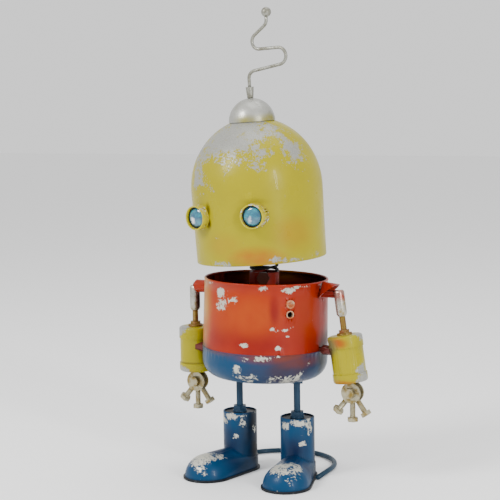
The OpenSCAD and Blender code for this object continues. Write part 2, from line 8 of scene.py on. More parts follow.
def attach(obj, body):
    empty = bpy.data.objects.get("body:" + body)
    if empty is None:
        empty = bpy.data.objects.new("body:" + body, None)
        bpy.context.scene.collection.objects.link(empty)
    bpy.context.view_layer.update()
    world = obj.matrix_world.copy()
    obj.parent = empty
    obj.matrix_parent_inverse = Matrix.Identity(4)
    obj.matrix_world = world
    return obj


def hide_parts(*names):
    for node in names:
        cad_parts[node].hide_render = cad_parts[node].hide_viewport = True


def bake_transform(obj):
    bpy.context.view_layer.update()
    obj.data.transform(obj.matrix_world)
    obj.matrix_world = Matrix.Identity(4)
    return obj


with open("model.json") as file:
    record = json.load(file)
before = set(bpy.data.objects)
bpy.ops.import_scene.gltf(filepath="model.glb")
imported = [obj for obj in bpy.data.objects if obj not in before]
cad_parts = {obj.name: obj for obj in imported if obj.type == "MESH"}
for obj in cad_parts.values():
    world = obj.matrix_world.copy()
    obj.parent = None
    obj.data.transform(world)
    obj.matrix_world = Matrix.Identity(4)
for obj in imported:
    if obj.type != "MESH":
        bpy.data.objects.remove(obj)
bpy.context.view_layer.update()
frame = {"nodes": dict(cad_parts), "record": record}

mm = 0.001

# where the round trunk stands in the row frame, and the sizes the looks are placed by
robot = {
    "axis": (-5.01, -5.33), "trunkRadius": 62.7, "leanPivot": 200.0, "trunkLean": 1.5, "trunkBack": 0.8,
    "rim": (-3.5, -2.0, 219.8), "headRadius": 65.3, "headNod": 1.6, "headLean": 2.8, "headTurn": 1.2,
    "rimHeight": 200.7, "seamHeight": 131.7, "rimRadius": 62.2, "seamRadius": 63.2, "sheet": 1,
    "barHeight": 187.5, "armLeft": 81.7, "armRight": -85.5, "armLean": 8.1,
    "legMiddle": -0.8, "legSpread": 33.5, "legBack": 1.2, "toeOut": 14,
}
eye = {"fromMiddle": 32.5, "height": 48.5, "glassFront": 63.5, "weldFront": 67.5, "splay": 10.0,
       "tubeRadius": 11.9}
mergeWithin = 0.000004


def rotation(xDegrees, yDegrees, zDegrees):
    return (Matrix.Rotation(math.radians(zDegrees), 4, "Z") @ Matrix.Rotation(math.radians(yDegrees), 4, "Y")
            @ Matrix.Rotation(math.radians(xDegrees), 4, "X"))


def shift(x, y, z):
    return Matrix.Translation((x * mm, y * mm, z * mm))


base = shift(robot["axis"][0], robot["axis"][1], 0)
trunkPlace = (base @ shift(0, 0, robot["leanPivot"]) @ rotation(-robot["trunkBack"], robot["trunkLean"], 0)
              @ shift(0, 0, -robot["leanPivot"]))
headPlace = (base @ shift(*robot["rim"]) @ rotation(robot["headNod"], -robot["headLean"], 0)
             @ rotation(0, 0, -robot["headTurn"]))


def armPlace(side):
    x = robot["armLeft"] if side > 0 else robot["armRight"]
    lean = -robot["armLean"] if side > 0 else 0
    return base @ shift(x, 0, robot["barHeight"]) @ rotation(0, lean, 0)


def legPlace(side):
    return base @ shift(robot["legMiddle"] + side * robot["legSpread"], robot["legBack"], 0)


# azimuth is counted from the front, towards the robot's left
def around(place, radius, azimuth, height):
    a = math.radians(azimuth)
    return place @ Vector((radius * math.sin(a) * mm, -radius * math.cos(a) * mm, height * mm))


# a short way to wire shader nodes
class Tree:
    def __init__(self, nodes, links):
        self.nodes, self.links = nodes, links

    def put(self, socket, value):
        if hasattr(value, "is_output"):
            self.links.new(value, socket)
        elif isinstance(value, (tuple, list)) and len(value) == 3 and socket.type == "RGBA":
            socket.default_value = (*value, 1)
        else:
            socket.default_value = value

    def math(self, operation, a, b=0.0, clamp=False):
        node = self.nodes.new("ShaderNodeMath")
        node.operation, node.use_clamp = operation, clamp
        self.put(node.inputs[0], a)
        self.put(node.inputs[1], b)
        return node.outputs[0]

    def vector(self, operation, a, b=None):
        node = self.nodes.new("ShaderNodeVectorMath")
        node.operation = operation
        self.put(node.inputs[0], a)
        if b is not None:
            self.put(node.inputs[1], b)
        return node.outputs["Value" if operation == "LENGTH" else "Vector"]

    def noise(self, vector, scale, detail=3.0, roughness=0.6):
        node = self.nodes.new("ShaderNodeTexNoise")
        node.inputs["Scale"].default_value = scale
        node.inputs["Detail"].default_value = detail
        node.inputs["Roughness"].default_value = roughness
        self.links.new(vector, node.inputs["Vector"])
        return node.outputs["Fac"]

    def ramp(self, value, low, high, toLow=0.0, toHigh=1.0):
        node = self.nodes.new("ShaderNodeMapRange")
        node.interpolation_type = "SMOOTHSTEP"
        self.put(node.inputs["Value"], value)
        for name, number in (("From Min", low), ("From Max", high), ("To Min", toLow), ("To Max", toHigh)):
            node.inputs[name].default_value = number
        return node.outputs["Result"]

    def mix(self, factor, a, b):
        node = self.nodes.new("ShaderNodeMix")
        node.data_type = "RGBA"
        self.put(node.inputs["Factor"], factor)
        self.put(node.inputs[6], a)
        self.put(node.inputs[7], b)
        return node.outputs[2]


def newGroup(name, inputs, outputs):
    group = bpy.data.node_groups.new(name, "ShaderNodeTree")
    for label, kind, value in inputs:
        socket = group.interface.new_socket(name=label, in_out="INPUT", socket_type=kind)
        if value is not None:
            socket.default_value = value
    for label, kind in outputs:
        group.interface.new_socket(name=label, in_out="OUTPUT", socket_type=kind)
    return group, group.nodes.new("NodeGroupInput"), group.nodes.new("NodeGroupOutput")


def newMaterial(name):
    material = bpy.data.materials.new(name)
    material.use_nodes = True
    t = Tree(material.node_tree.nodes, material.node_tree.links)
    return material, t, t.nodes["Principled BSDF"], t.nodes.new("ShaderNodeTexCoord").outputs["Object"]


def addBump(t, shader, height, distance, strength=1.0):
    bump = t.nodes.new("ShaderNodeBump")
    bump.inputs["Distance"].default_value = distance
    bump.inputs["Strength"].default_value = strength
    t.links.new(height, bump.inputs["Height"])
    t.links.new(bump.outputs["Normal"], shader.inputs["Normal"])


chipLook = {"broadScale": 85, "fineScale": 420, "dustScale": 38, "broadAmount": 2.0, "fineAmount": 1.7,
            "bareFrom": 0.42, "bareTo": 0.48, "edgeFrom": 0.30}


# paint broken away in islands where Field is high, with a few stray flecks elsewhere
def buildChipGroup():
    group, given, result = newGroup(
        "paintChips",
        [("Vector", "NodeSocketVector", None), ("Field", "NodeSocketFloat", 0.0),
         ("Stray", "NodeSocketFloat", 0.0)],
        [("Chips", "NodeSocketFloat"), ("Edge", "NodeSocketFloat"), ("Dust", "NodeSocketFloat")])
    t = Tree(group.nodes, group.links)
    broad = t.noise(given.outputs["Vector"], chipLook["broadScale"], 5, 0.66)
    fine = t.noise(given.outputs["Vector"], chipLook["fineScale"], 4, 0.75)
    broken = t.math("ADD", t.math("MULTIPLY", t.math("SUBTRACT", broad, 0.5), chipLook["broadAmount"]),
                    t.math("MULTIPLY", t.math("SUBTRACT", fine, 0.5), chipLook["fineAmount"]))
    total = t.math("ADD", t.math("ADD", given.outputs["Field"], given.outputs["Stray"]), broken)
    group.links.new(t.ramp(total, chipLook["bareFrom"], chipLook["bareTo"]), result.inputs["Chips"])
    group.links.new(t.ramp(total, chipLook["edgeFrom"], chipLook["bareFrom"]), result.inputs["Edge"])
    dust = t.noise(given.outputs["Vector"], chipLook["dustScale"], 3, 0.55)
    group.links.new(dust, result.inputs["Dust"])
    return group


chipGroup = buildChipGroup()


patchLook = {"edge": 1.55, "core": 0.25}


# highest of soft blobs; a patch is centre, half-width and half-height in millimetres, and strength
def patchField(t, coords, patches):
    best = None
    for centre, wide, tall, strength in patches:
        away = t.vector("SUBTRACT", coords, tuple(centre))
        scaled = t.vector("MULTIPLY", away, (1 / (wide * mm), 1 / (wide * mm), 1 / (tall * mm)))
        blob = t.ramp(t.vector("LENGTH", scaled), patchLook["edge"], patchLook["core"], 0.0, strength)
        best = blob if best is None else t.math("MAXIMUM", best, blob)
    return best if best is not None else 0.0


wellShadeLook = {"fadeDepth": 16, "atRim": 0.25}


# painted shade down the inside of the trunk: 0 on the outer face of the shell, and on the inside face rising
# from a little at the rim to 1
def insideTrunkShade(t, coords):
    place = t.nodes.new("ShaderNodeMapping")
    place.vector_type = "TEXTURE"
    place.inputs["Location"].default_value = trunkPlace.to_translation()
    place.inputs["Rotation"].default_value = trunkPlace.to_euler()
    t.links.new(coords, place.inputs["Vector"])
    local = place.outputs["Vector"]
    fromAxis = t.vector("LENGTH", t.vector("MULTIPLY", local, (1.0, 1.0, 0.0)))
    split = t.nodes.new("ShaderNodeSeparateXYZ")
    t.links.new(local, split.inputs[0])
    slope = (robot["seamRadius"] - robot["rimRadius"]) / (robot["rimHeight"] - robot["seamHeight"])
    level = (robot["rimRadius"] + slope * robot["rimHeight"] - robot["sheet"] / 2) * mm
    past = t.math("ADD", fromAxis, t.math("MULTIPLY", split.outputs["Z"], slope))
    inside = t.math("LESS_THAN", past, level)
    dark = (robot["rimHeight"] - wellShadeLook["fadeDepth"]) * mm
    deep = t.ramp(split.outputs["Z"], robot["rimHeight"] * mm, dark, wellShadeLook["atRim"], 1.0)
    return t.math("MULTIPLY", inside, deep)


paintLook = {"cloudScale": 55, "grainScale": 900, "thickness": 0.00012, "bumpStrength": 0.8,
             "grainBump": 0.10, "edgeBump": 0.25, "dustDark": 0.55, "metalDark": 0.78,
             "bareMetallic": 0.35, "bareRougher": 0.06,
             "specular": 0.16, "coat": 0.06}


# sprays tint the paint softly and chips bare the metal
# chips is a list of patches, and sprays is a list of a tint with its patches
def wornPaint(name, paint, metal, chips=(), sprays=(), stray=-0.1, roughness=0.36, shade=0.12, inner=None):
    material, t, shader, coords = newMaterial(name)
    soft = t.noise(coords, paintLook["cloudScale"], 3, 0.5)
    colour = paint
    for tint, patches in sprays:
        cover = patchField(t, coords, patches)
        cover = t.math("MULTIPLY", cover, t.ramp(soft, 0.2, 0.7, 0.65, 1.15), clamp=True)
        colour = t.mix(cover, colour, tint)
    # the inner colour is painted shade, deepening down the inside of the trunk
    if inner:
        colour = t.mix(insideTrunkShade(t, coords), colour, inner)
    group = t.nodes.new("ShaderNodeGroup")
    group.node_tree = chipGroup
    t.links.new(coords, group.inputs["Vector"])
    t.put(group.inputs["Field"], patchField(t, coords, chips))
    group.inputs["Stray"].default_value = stray
    bare, edge, dust = group.outputs["Chips"], group.outputs["Edge"], group.outputs["Dust"]
    darker = tuple(paintLook["dustDark"] * c for c in paint)
    colour = t.mix(t.ramp(dust, 0.35, 0.75, 0.0, shade), colour, darker)
    grain = t.noise(coords, paintLook["grainScale"], 2, 0.6)
    metalColour = t.mix(t.ramp(grain, 0.3, 0.7), tuple(paintLook["metalDark"] * c for c in metal), metal)
    t.links.new(t.mix(bare, colour, metalColour), shader.inputs["Base Color"])
    t.links.new(t.math("MULTIPLY", bare, paintLook["bareMetallic"]), shader.inputs["Metallic"])
    gloss = t.ramp(dust, 0.3, 0.7, roughness - 0.05, roughness + 0.12)
    rougher = t.math("MULTIPLY", bare, paintLook["bareRougher"])
    t.links.new(t.math("ADD", gloss, rougher), shader.inputs["Roughness"])
    shader.inputs["Specular IOR Level"].default_value = paintLook["specular"]
    shader.inputs["Coat Weight"].default_value = paintLook["coat"]
    height = t.math("SUBTRACT", t.math("MULTIPLY", grain, paintLook["grainBump"]), bare)
    height = t.math("ADD", height, t.math("MULTIPLY", edge, paintLook["edgeBump"]))
    addBump(t, shader, height, paintLook["thickness"], paintLook["bumpStrength"])
    return material


metalLook = {"grainScale": 700, "grainStretch": 6.0, "grainShade": 0.22, "grainDark": 0.5, "bump": 0.00006,
             "bumpStrength": 0.7}


# steel or zinc, brushed by fine noise and clouded with a stain
def bareMetal(name, colour, stain, amount=0.5, roughness=0.34, metallic=0.75, scale=160, sprays=()):
    material, t, shader, coords = newMaterial(name)
    cloud = t.noise(coords, scale, 4, 0.6)
    stretched = t.vector("MULTIPLY", coords, (1.0, 1.0, metalLook["grainStretch"]))
    grain = t.noise(stretched, metalLook["grainScale"], 2, 0.6)
    tinted = t.mix(t.ramp(cloud, 0.62 - 0.4 * amount, 0.85 - 0.3 * amount), colour, stain)
    for tint, patches in sprays:
        uneven = t.ramp(cloud, 0.25, 0.7, 0.6, 1.2)
        cover = t.math("MULTIPLY", patchField(t, coords, patches), uneven, clamp=True)
        tinted = t.mix(cover, tinted, tint)
    dark = tuple(metalLook["grainDark"] * c for c in colour)
    shaded = t.mix(t.ramp(grain, 0.3, 0.7, 0.0, metalLook["grainShade"]), tinted, dark)
    t.links.new(shaded, shader.inputs["Base Color"])
    t.links.new(t.ramp(cloud, 0.3, 0.75, roughness - 0.06, roughness + 0.22), shader.inputs["Roughness"])
    shader.inputs["Metallic"].default_value = metallic
    addBump(t, shader, t.math("ADD", grain, cloud), metalLook["bump"], metalLook["bumpStrength"])
    return material


silver = (0.31, 0.31, 0.28)
cream = (0.50, 0.49, 0.42)


def onTrunk(azimuth, height, wide, tall, strength=0.75):
    return around(trunkPlace, robot["trunkRadius"], azimuth, height), wide, tall, strength


def onHead(azimuth, height, wide, tall, strength=0.75, radius=robot["headRadius"]):
    return around(headPlace, radius, azimuth, height), wide, tall, strength


def headFinish():
    yellow, orange, brown = (0.29, 0.25, 0.0), (0.34, 0.09, 0.0), (0.03, 0.008, 0.0)
    chips = [
        onHead(0, 142, 75, 45, 1.0), onHead(-32, 112, 26, 24, 0.80, 50), onHead(-30, 88, 18, 20, 0.66, 62),
        onHead(12, 104, 20, 22, 0.62, 54), onHead(0, 92, 12, 14, 0.46, 62),
        onHead(45, 122, 26, 16, 0.66, 44),
        onHead(72, 108, 20, 22, 0.74, 54), onHead(36, 104, 14, 22, 0.6, 56),
        onHead(-60, 112, 24, 22, 0.7, 50),
        # the bare patch at azimuth 55 and height 72 is a painted highlight, a streak of lamp light reflected
        # on the side of the head
        onHead(-14, 78, 10, 10, 0.42), onHead(81, 76, 6, 5, 0.46), onHead(55, 72, 5, 7, 0.40),
        onHead(-5, 3, 13, 4, 0.72), onHead(46, 4, 16, 4.5, 0.76), onHead(62, 3, 16, 3, 0.6),
        onHead(38, 8, 4, 5, 0.5),
        onHead(86, 5, 8, 4, 0.55), onHead(-9, 27, 3.5, 3.5, 0.55), onHead(-40, 2.5, 8, 3, 0.5),
        onHead(150, 100, 30, 26, 0.45, 52), onHead(-110, 104, 24, 24, 0.45, 52),
        onHead(200, 5, 12, 4, 0.55),
        onHead(130, 40, 9, 7, 0.48), onHead(-120, 30, 8, 9, 0.48), onHead(265, 60, 7, 7, 0.45)]
    sprays = [
        (orange, [onHead(26, 8, 26, 9, 0.75), onHead(62, 28, 22, 16, 0.28), onHead(-2, 20, 18, 12, 0.20),
                  onHead(170, 8, 40, 10, 0.6), onHead(-90, 10, 36, 9, 0.5)]),
        (brown, [onHead(-17, 55, 3, 7, 0.75), onHead(-17, 42, 3, 5, 0.85), onHead(29, 62, 13, 3, 0.22)])]
    return wornPaint("wornYellow", yellow, silver, chips, sprays, stray=-0.16, roughness=0.30)


def trunkFinish():
    orange, red, glow = (0.27, 0.014, 0.0), (0.17, 0.002, 0.0), (0.36, 0.055, 0.0)
    ochre, darkTintAndShade = (0.36, 0.17, 0.0), (0.012, 0.005, 0.002)
    chips = [
        onTrunk(-16, 190.5, 6.5, 6.5, 0.95), onTrunk(-16, 178, 10, 7, 0.62), onTrunk(-3, 184, 7, 6, 0.66),
        onTrunk(-4, 192, 8, 5, 0.40), onTrunk(25, 197, 9, 3.5, 0.66), onTrunk(50, 194.5, 7, 4, 0.85),
        onTrunk(-32, 198, 8, 2, 0.7), onTrunk(62, 198, 12, 1.8, 0.6), onTrunk(44, 156, 9, 2.2, 0.85),
        onTrunk(36, 158, 4, 2.5, 0.7), onTrunk(54, 158.5, 4, 2.0, 0.6), onTrunk(49, 150, 4, 1.4, 0.75),
        onTrunk(42, 163, 3, 5, 0.42), onTrunk(10.5, 141, 6.5, 3.8, 0.85), onTrunk(41, 138.5, 4.5, 3.2, 0.7),
        onTrunk(102, 164, 3, 10, 0.6), onTrunk(130, 185, 9, 7, 0.6), onTrunk(175, 150, 12, 6, 0.6),
        onTrunk(215, 190, 10, 5, 0.6), onTrunk(255, 160, 8, 8, 0.55), onTrunk(-70, 160, 5, 8, 0.45)]
    sprays = [
        (red, [onTrunk(78, 165, 30, 50, 0.85), onTrunk(22, 141, 34, 16, 0.75),
               onTrunk(-12, 146, 26, 14, 0.55),
               onTrunk(160, 160, 44, 40, 0.8), onTrunk(240, 150, 44, 30, 0.6)]),
        (glow, [onTrunk(18, 170, 26, 20, 0.6), onTrunk(-10, 172, 26, 22, 0.5),
                onTrunk(70, 170, 20, 26, 0.25)]),
        (ochre, [onTrunk(-48, 180, 17, 46, 0.8), onTrunk(-60, 150, 12, 30, 0.55),
                 onTrunk(200, 196, 40, 8, 0.5)]),
        (red, [onTrunk(37, 176, 5, 16, 0.8)]),
        # the near-black patches beside the arms, at azimuths 104 and -104, are painted shade; the thin bands
        # at seam height are dark joints
        (darkTintAndShade, [onTrunk(104, 140, 22, 13, 0.9), onTrunk(-50, 132, 20, 5, 0.7), onTrunk(88, 132, 16, 4, 0.5),
                onTrunk(-104, 136, 20, 9, 0.7)])]
    # the near-black inner colour is painted shade inside the body
    return wornPaint("wornOrange", orange, cream, chips, sprays, stray=-0.20, roughness=0.33,
                     inner=(0.035, 0.003, 0.001))


def panFinish():
    blue, plum, rust = (0.0, 0.036, 0.095), (0.030, 0.018, 0.034), (0.14, 0.022, 0.006)
    chips = [
        onTrunk(11, 126, 5.5, 4.5, 0.85), onTrunk(27, 128, 11, 3.5, 0.9), onTrunk(40, 130.5, 7, 2, 0.7),
        onTrunk(4, 117, 6, 5, 0.80), onTrunk(72, 121, 3.5, 3, 0.7), onTrunk(66, 111, 9, 5, 0.52),
        onTrunk(42, 108, 22, 7, 0.66), onTrunk(14, 107, 18, 6, 0.56), onTrunk(60, 106, 18, 7, 0.68),
        onTrunk(-30, 108, 9, 4, 0.45), onTrunk(140, 118, 12, 7, 0.6), onTrunk(200, 125, 12, 5, 0.6),
        onTrunk(260, 112, 12, 6, 0.55)]
    sprays = [
        (plum, [onTrunk(52, 116, 34, 22, 0.9), onTrunk(24, 112, 20, 12, 0.5),
                onTrunk(190, 112, 50, 20, 0.6)]),
        (rust, [onTrunk(40, 130, 40, 6, 0.75), onTrunk(66, 124, 24, 6, 0.5),
                onTrunk(-10, 131, 26, 3, 0.5)]),
        # near-black: the patch at azimuth 96 beside the left arm is painted shade, and the thin band along
        # the seam is a dark joint
        ((0.012, 0.012, 0.014), [onTrunk(96, 124, 12, 18, 0.9), onTrunk(-48, 131, 24, 3, 0.5)])]
    return wornPaint("wornPanBlue", blue, cream, chips, sprays, stray=-0.20, roughness=0.36)


def bootFinish():
    blue, deep, darkTintAndShade = (0.0, 0.034, 0.092), (0.0, 0.008, 0.036), (0.002, 0.002, 0.004)

    def onBoot(side, x, y, z, wide, tall, strength=0.8):
        place = legPlace(side) @ rotation(0, 0, side * robot["toeOut"])
        return place @ Vector((x * mm, y * mm, z * mm)), wide, tall, strength

    chips, shades, bootShade = [], [], []
    for side in (1, -1):
        chips += [
            onBoot(side, -2, -56, 20, 17, 8, 0.82), onBoot(side, 8, -46, 21, 12, 7, 0.72),
            onBoot(side, -12, -42, 21, 10, 6, 0.62), onBoot(side, 10, -66, 12, 9, 8, 0.62),
            onBoot(side, 4, -17, 57, 11, 5, 0.80), onBoot(side, -8, -15, 54, 8, 6, 0.75),
            onBoot(side, 14, -9, 54, 6, 10, 0.75), onBoot(side, 8, -15, 36, 5, 3.5, 0.70),
            onBoot(side, 0, 0, 60, 18, 2.5, 0.55),
            onBoot(side, 17, 4, 44, 5, 6, 0.5), onBoot(side, -10, 14, 40, 7, 8, 0.55)]
        shades += [onBoot(side, 0, -14, 30, 14, 14, 0.9), onBoot(side, 0, -30, 24, 14, 7, 0.8),
                   onBoot(side, 14, -30, 10, 12, 14, 0.7)]
        # painted shade: near-black down the sides of each boot and low at its foot
        bootShade += [onBoot(side, 17, 6, 30, 17 if side < 0 else 10, 46, 1.0),
                  onBoot(side, 14, -6, 6, 20, 12, 0.7),
                  onBoot(side, -17, 10, 26, 11, 30, 0.8)]
    sprays = [(deep, shades), (darkTintAndShade, bootShade)]
    return wornPaint("wornBootBlue", blue, cream, chips, sprays, stray=-0.14, roughness=0.36)


def forearmFinish():
    yellow, orange, khaki = (0.29, 0.25, 0.0), (0.30, 0.045, 0.0), (0.12, 0.11, 0.05)
    darkTintAndShade, canRadius = (0.05, 0.025, 0.01), 17.2

    def onCan(side, azimuth, height, wide, tall, strength=0.8):
        return around(armPlace(side), canRadius, azimuth, height), wide, tall, strength

    chips = [
        onCan(1, 100, -41, 12, 6, 0.95), onCan(1, 80, -74, 9, 9, 0.95), onCan(1, 74, -84, 11, 6, 0.95),
        onCan(1, -36, -47, 3, 5, 0.6), onCan(1, 75, -55, 3, 3, 0.4), onCan(-1, -44, -44, 13, 9, 1.0),
        onCan(-1, -30, -87, 13, 6, 1.0), onCan(-1, 150, -60, 7, 9, 0.5), onCan(1, 200, -60, 8, 8, 0.5)]
    sprays = [
        (orange, [onCan(1, 0, -46, 9, 5, 0.85), onCan(1, 5, -86, 14, 3, 0.6),
                  onCan(-1, -20, -88, 12, 3, 0.4)]),
        (khaki, [onCan(1, -34, -49, 8, 9, 1.0), onCan(1, 95, -52, 8, 10, 0.25)]),
        # the near-black patches on the side of each can towards the trunk, with the left can's dented
        # corner, are painted shade; the thin line low on the right can is a dark joint
        (darkTintAndShade, [onCan(1, -48, -58, 5, 11, 0.9), onCan(-1, 70, -60, 7, 26, 0.6),
                onCan(-1, 10, -79, 18, 0.9, 0.5)])]
    return wornPaint("wornForearmYellow", yellow, silver, chips, sprays, stray=-0.2, roughness=0.32)


def darkPaint(name, colour, worn, roughness=0.4, stray=-0.12):
    return wornPaint(name, colour, worn, (), (), stray=stray, roughness=roughness, shade=0.4)


glassLook = {"fleckShift": 2.2, "fleckWide": 4.6, "fleckTall": 5.4, "rim": 10.2, "cloudScale": 210,
             "bump": 0.0001}


# sea-blue glass with a painted reflection as a cloudy pale spot, and a dark ring at its edge
def eyeGlassFinish():
    material, t, shader, coords = newMaterial("eyeBlueGlass")
    reflectionSpots, rims = [], []
    for side in (1, -1):
        middle = (side * eye["fromMiddle"] * mm, -eye["glassFront"] * mm, eye["height"] * mm)
        centre = headPlace @ Vector(middle)
        # the pale spot is a painted reflection, set a little down and towards the robot's right of each
        # glass's middle
        reflectionSpot = centre - Vector((glassLook["fleckShift"] * mm, 0, glassLook["fleckShift"] * mm))
        reflectionSpots.append((reflectionSpot, glassLook["fleckWide"], glassLook["fleckTall"], 1.0))
        rims.append((centre, glassLook["rim"], glassLook["rim"], 1.0))
    cloud = t.noise(coords, glassLook["cloudScale"], 4, 0.6)
    reflectionMask = t.ramp(t.math("ADD", patchField(t, coords, reflectionSpots), t.math("SUBTRACT", cloud, 0.5)), 0.35, 0.75)
    sea = t.mix(t.ramp(cloud, 0.35, 0.7), (0.003, 0.07, 0.13), (0.01, 0.20, 0.26))
    ringed = t.mix(t.ramp(patchField(t, coords, rims), 0.02, 0.5), (0.004, 0.02, 0.03), sea)
    t.links.new(t.mix(reflectionMask, ringed, (0.62, 0.62, 0.64)), shader.inputs["Base Color"])
    shader.inputs["Roughness"].default_value = 0.06
    shader.inputs["Coat Weight"].default_value = 1.0
    shader.inputs["Coat Roughness"].default_value = 0.03
    addBump(t, shader, cloud, glassLook["bump"])
    return material


def buildFinishes():
    olive = (0.24, 0.21, 0.0)
    capEdge = [onHead(a, 139, 12, 5, 0.75, 22) for a in (20, 75, 160, 250)]
    eyeChips = [onHead(a, 48, 16, 16, 0.30, 72) for a in (-29, 27)]
    browning = [((0.06, 0.018, 0.003), [onHead(a, 48, 13, 15, 1.0, 60) for a in (-29, 29)])]
    # a red-orange top on the left sleeve, and a dark strip down the right sleeve's side towards the trunk
    sleeveTints = [((0.30, 0.018, 0.0), [(armPlace(1) @ Vector((0, 0, 0)), 11, 6, 1.0)]),
                    ((0.02, 0.012, 0.01), [(armPlace(-1) @ Vector((6 * mm, 0, -12 * mm)), 5, 22, 1.0)])]
    return {
        "head_paint": headFinish(),
        "cap_metal": bareMetal("capSteel", (0.36, 0.36, 0.33), (0.22, 0.22, 0.17), 0.3, 0.36, 0.55, 70,
                               [(olive, capEdge)]),
        "antenna_steel": bareMetal("antennaSteel", (0.28, 0.28, 0.24), (0.15, 0.14, 0.10), 0.5, 0.34, 0.7),
        "eye_tube_paint": wornPaint("eyeTubeYellow", (0.40, 0.34, 0.01), cream, eyeChips, browning,
                                    stray=0.02, roughness=0.4),
        "eye_black": darkPaint("eyeBlack", (0.008, 0.008, 0.008), (0.05, 0.05, 0.045), 0.5, -0.3),
        "eye_glass": eyeGlassFinish(),
        "bare_steel": bareMetal("innerSteel", (0.24, 0.23, 0.21), (0.12, 0.07, 0.03), 0.6, 0.45, 0.6),
        "spring_black": darkPaint("springBlack", (0.008, 0.007, 0.007), (0.20, 0.19, 0.17), 0.34, -0.24),
        "collar_red": darkPaint("collarRed", (0.20, 0.012, 0.006), (0.30, 0.20, 0.14), 0.4, -0.2),
        "bolt_dark": darkPaint("boltDark", (0.05, 0.012, 0.006), (0.25, 0.18, 0.12), 0.4, -0.22),
        "trunk_paint": trunkFinish(),
        "pan_paint": panFinish(),
        "chest_ring": bareMetal("chestRing", (0.46, 0.34, 0.22), (0.36, 0.07, 0.005), 0.8, 0.4, 0.35),
        "sleeve_steel": bareMetal("sleeveSteel", (0.42, 0.41, 0.36), (0.26, 0.18, 0.02), 0.35, 0.28, 0.75,
                                  160, sleeveTints),
        "rod_rust": bareMetal("rustyRod", (0.19, 0.12, 0.015), (0.17, 0.055, 0.01), 0.6, 0.42, 0.45),
        "forearm_paint": forearmFinish(),
        "stay_red": darkPaint("stayRed", (0.10, 0.020, 0.016), (0.42, 0.36, 0.34), 0.35, -0.02),
        "hand_zinc": bareMetal("handZinc", (0.36, 0.33, 0.22), (0.20, 0.13, 0.015), 0.6, 0.34, 0.6),
        "leg_blue": darkPaint("legBlue", (0.010, 0.035, 0.07), (0.16, 0.15, 0.11), 0.4, -0.06),
        "boot_blue": bootFinish(),
        "boot_black": darkPaint("bootBlack", (0.006, 0.008, 0.012), (0.08, 0.10, 0.12), 0.42, -0.16),
        "hoop_blue": darkPaint("hoopBlue", (0.008, 0.030, 0.055), (0.20, 0.22, 0.22), 0.36, -0.12),
    }


print("finishes")
finishes = buildFinishes()
slotOf = {row["node"]: row["material_slot"] for row in frame["record"]["subparts"]}
bodyOf = {node: body for body, nodes in frame["record"]["behaviour"]["bodies"].items() for node in nodes}
redone = ["neck_spring", "finger_bolts_left", "finger_bolts_right", "forearm_rod_left", "forearm_rod_right",
          "leg_rod_left", "leg_rod_right"]


def deselect():
    bpy.ops.object.select_all(action="DESELECT")


def choose(piece):
    deselect()
    piece.select_set(True)
    bpy.context.view_layer.objects.active = piece


def smooth(piece, degrees=32):
    choose(piece)
    bpy.ops.object.shade_smooth_by_angle(angle=math.radians(degrees))


# colour it, and hide the node it stands for
def finished(piece, node, slotName):
    piece.data.materials.clear()
    piece.data.materials.append(finishes[slotName])
    if node:
        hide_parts(node)


def joined(parts, name):
    deselect()
    for part in parts:
        part.select_set(True)
    bpy.context.view_layer.objects.active = parts[0]
    if len(parts) > 1:
        bpy.ops.object.join()
    piece = bpy.context.view_layer.objects.active
    piece.name = piece.data.name = name
    bpy.ops.object.transform_apply(location=True, rotation=True, scale=True)
    return piece


def cleanCopy(node):
    source = frame["nodes"][node]
    piece = source.copy()
    piece.data = source.data.copy()
    piece.parent = None
    bpy.context.collection.objects.link(piece)
    name = "".join(word if i == 0 else word.capitalize() for i, word in enumerate(node.split("_")))
    piece.name = piece.data.name = name
    choose(piece)
    bpy.ops.object.mode_set(mode="EDIT")
    bpy.ops.mesh.select_all(action="SELECT")
    bpy.ops.mesh.remove_doubles(threshold=mergeWithin)
    bpy.ops.object.mode_set(mode="OBJECT")
    smooth(piece)
    finished(piece, node, slotOf[node])
    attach(piece, bodyOf[node])
    return piece


print("carried nodes")
for node in sorted(slotOf):
    if node not in redone:
        cleanCopy(node)


# profile is (radius, height) in millimetres from bottom to top, spun round Z and then placed
def spunRod(profile, place, steps=28):
    deselect()
    mesh = bpy.data.meshes.new("spun")
    edges = [(i, i + 1) for i in range(len(profile) - 1)]
    mesh.from_pydata([(r * mm, 0, z * mm) for r, z in profile], edges, [])
    rod = bpy.data.objects.new("spun", mesh)
    bpy.context.collection.objects.link(rod)
    choose(rod)
    bpy.ops.object.mode_set(mode="EDIT")
    bpy.ops.mesh.select_all(action="SELECT")
    bpy.ops.mesh.spin(steps=steps, angle=2 * math.pi, center=(0, 0, 0), axis=(0, 0, 1))
    bpy.ops.mesh.select_all(action="SELECT")
    bpy.ops.mesh.remove_doubles(threshold=mergeWithin)
    bpy.ops.mesh.normals_make_consistent(inside=False)
    bpy.ops.object.mode_set(mode="OBJECT")
    rod.matrix_world = place
    return rod


thread = {"riseFrom": 0.12, "crestFrom": 0.42, "crestTo": 0.58, "fallTo": 0.88, "plainEnd": 0.2}


# ridges one pitch apart, closed at both ends; the shape of a ridge is in parts of the pitch
def threadProfile(radius, low, high, pitch, depth):
    root = radius - depth
    points, z = [(0, low), (root, low)], low
    while z + pitch <= high - thread["plainEnd"]:
        points += [(root, z + thread["riseFrom"] * pitch), (radius, z + thread["crestFrom"] * pitch),
                   (radius, z + thread["crestTo"] * pitch), (root, z + thread["fallTo"] * pitch)]
        z += pitch
    return points + [(root, high), (0, high)]


